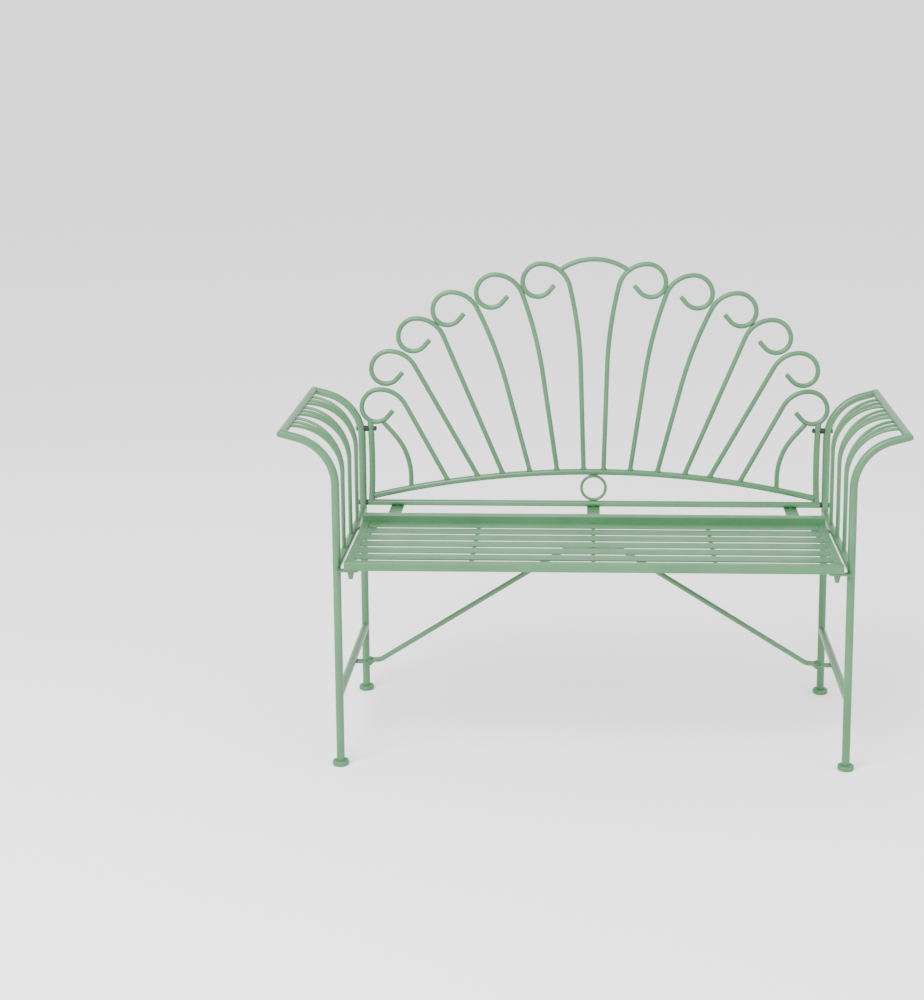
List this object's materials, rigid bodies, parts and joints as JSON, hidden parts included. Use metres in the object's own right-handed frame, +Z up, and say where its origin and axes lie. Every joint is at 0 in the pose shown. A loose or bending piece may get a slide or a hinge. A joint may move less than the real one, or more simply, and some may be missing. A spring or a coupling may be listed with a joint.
{
  "type": "garden bench",
  "caption": "Sage green welded steel garden bench with a slatted seat, flared rod arms and a fan back of scrolled rods.",
  "frame": {"origin": "on the floor, under the middle of the bench's box", "axes": "+Z up, +X to the right as seen from the front, +Y towards the back; the sitter faces -Y"},
  "size_m": [1.2814, 0.457, 1.014],
  "materials": {
    "green_powder_coat": "satin powder coat on steel",
    "green_fasteners": "painted steel fasteners",
    "black_fasteners": "black coated steel",
    "green_glides": "matte moulded glide",
    "black_rubber": "matte black"
  },
  "bodies": {
    "root": {"back_arch": "green_powder_coat", "back_bottom_rail": "green_powder_coat", "back_brackets": "green_powder_coat", "brace_fasteners": "green_fasteners", "brace_tabs": "green_powder_coat", "centre_ring": "green_powder_coat", "cross_brace": "green_powder_coat", "crown_arch": "green_powder_coat", "left_arm_rail": "green_powder_coat", "left_arm_sheaf_front": "green_powder_coat", "left_arm_sheaf_middle": "green_powder_coat", "left_arm_sheaf_rear": "green_powder_coat", "left_back_post": "green_powder_coat", "left_end_curl": "green_powder_coat", "left_fan_rod_1": "green_powder_coat", "left_fan_rod_2": "green_powder_coat", "left_fan_rod_3": "green_powder_coat", "left_fan_rod_4": "green_powder_coat", "left_fan_rod_5": "green_powder_coat", "left_fan_rod_6": "green_powder_coat", "left_front_foot": "green_glides", "left_front_leg": "green_powder_coat", "left_rear_foot": "green_glides", "left_rear_leg": "green_powder_coat", "left_side_rail": "green_powder_coat", "left_stretcher": "green_powder_coat", "post_bolts": "green_fasteners", "post_nuts": "black_fasteners", "post_spacers": "black_rubber", "right_arm_rail": "green_powder_coat", "right_arm_sheaf_front": "green_powder_coat", "right_arm_sheaf_middle": "green_powder_coat", "right_arm_sheaf_rear": "green_powder_coat", "right_back_post": "green_powder_coat", "right_end_curl": "green_powder_coat", "right_fan_rod_1": "green_powder_coat", "right_fan_rod_2": "green_powder_coat", "right_fan_rod_3": "green_powder_coat", "right_fan_rod_4": "green_powder_coat", "right_fan_rod_5": "green_powder_coat", "right_fan_rod_6": "green_powder_coat", "right_front_foot": "green_glides", "right_front_leg": "green_powder_coat", "right_rear_foot": "green_glides", "right_rear_leg": "green_powder_coat", "right_side_rail": "green_powder_coat", "right_stretcher": "green_powder_coat", "seat_cross_bars": "green_powder_coat", "seat_fasteners": "green_fasteners", "seat_front_rail": "green_powder_coat", "seat_left_bar": "green_powder_coat", "seat_rear_rail": "green_powder_coat", "seat_right_bar": "green_powder_coat", "seat_slat_1": "green_powder_coat", "seat_slat_2": "green_powder_coat", "seat_slat_3": "green_powder_coat", "seat_slat_4": "green_powder_coat", "seat_slat_5": "green_powder_coat", "seat_slat_6": "green_powder_coat", "seat_tabs": "green_powder_coat"}
  },
  "joints": []
}
